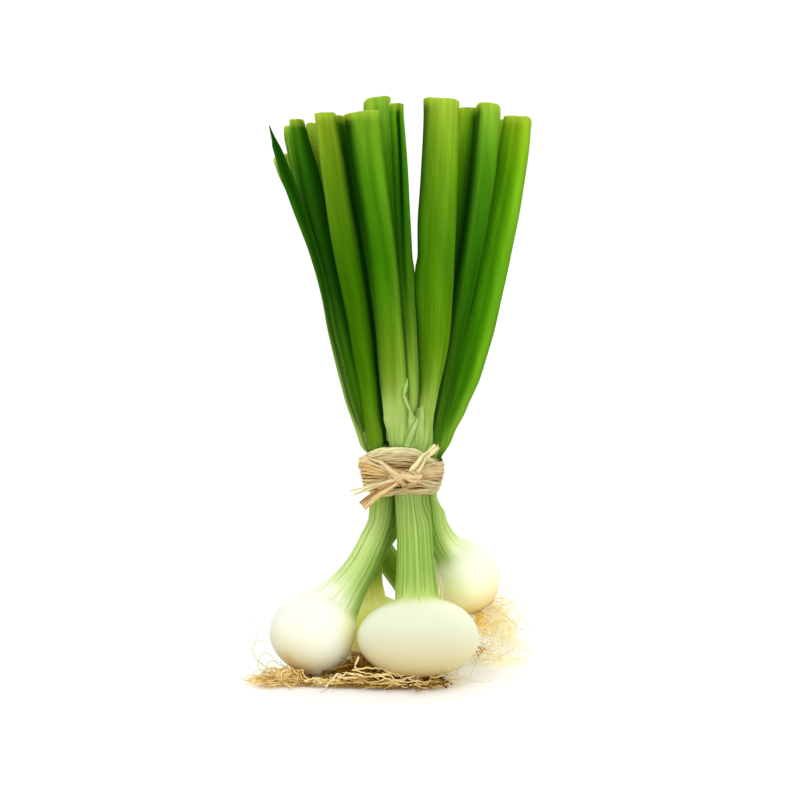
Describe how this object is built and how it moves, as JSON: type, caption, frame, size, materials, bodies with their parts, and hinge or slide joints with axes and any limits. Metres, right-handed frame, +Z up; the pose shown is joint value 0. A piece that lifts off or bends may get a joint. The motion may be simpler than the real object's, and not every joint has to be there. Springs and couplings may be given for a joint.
{
  "type": "spring onion bunch",
  "caption": "Bunch of white spring onions with round bulbs, dried roots and hollow trimmed green leaves, tied at the necks with raffia and standing on its splayed bulbs.",
  "frame": {"origin": "middle of the bunch's footprint on the surface it stands on", "axes": "+Z up along the leaves; -Y towards the widest bulb and the raffia knot; +X towards the onion that is lifted off the ground"},
  "size_m": [0.1304, 0.1193, 0.2719],
  "materials": {
    "bulb_skin": "glossy creamy white onion skin running to ribbed pale green at the neck",
    "leaf": "satin green leaf with fine veins along it and a pale cut edge",
    "root": "matte dry straw-coloured root hairs",
    "raffia": "matte fibrous raffia strip"
  },
  "bodies": {
    "root": {"onion_front_left": "bulb_skin", "leaf_front_left_1": "leaf", "leaf_front_left_2": "leaf", "leaf_front_left_3": "leaf", "leaf_front_left_4": "leaf", "roots_front_left": "root", "onion_front": "bulb_skin", "leaf_front_1": "leaf", "leaf_front_2": "leaf", "leaf_front_3": "leaf", "roots_front": "root", "onion_right": "bulb_skin", "leaf_right_1": "leaf", "leaf_right_2": "leaf", "leaf_right_3": "leaf", "roots_right": "root", "onion_rear_left": "bulb_skin", "leaf_rear_left_1": "leaf", "leaf_rear_left_2": "leaf", "leaf_rear_left_3": "leaf", "roots_rear_left": "root", "onion_rear": "bulb_skin", "leaf_rear_1": "leaf", "leaf_rear_2": "leaf", "leaf_rear_3": "leaf", "leaf_rear_4": "leaf", "roots_rear": "root", "raffia_turn_lower": "raffia", "raffia_turn_middle": "raffia", "raffia_turn_upper": "raffia", "raffia_knot": "raffia", "raffia_tail_right": "raffia", "raffia_tail_left_upper": "raffia", "raffia_tail_left_lower": "raffia"}
  },
  "joints": []
}
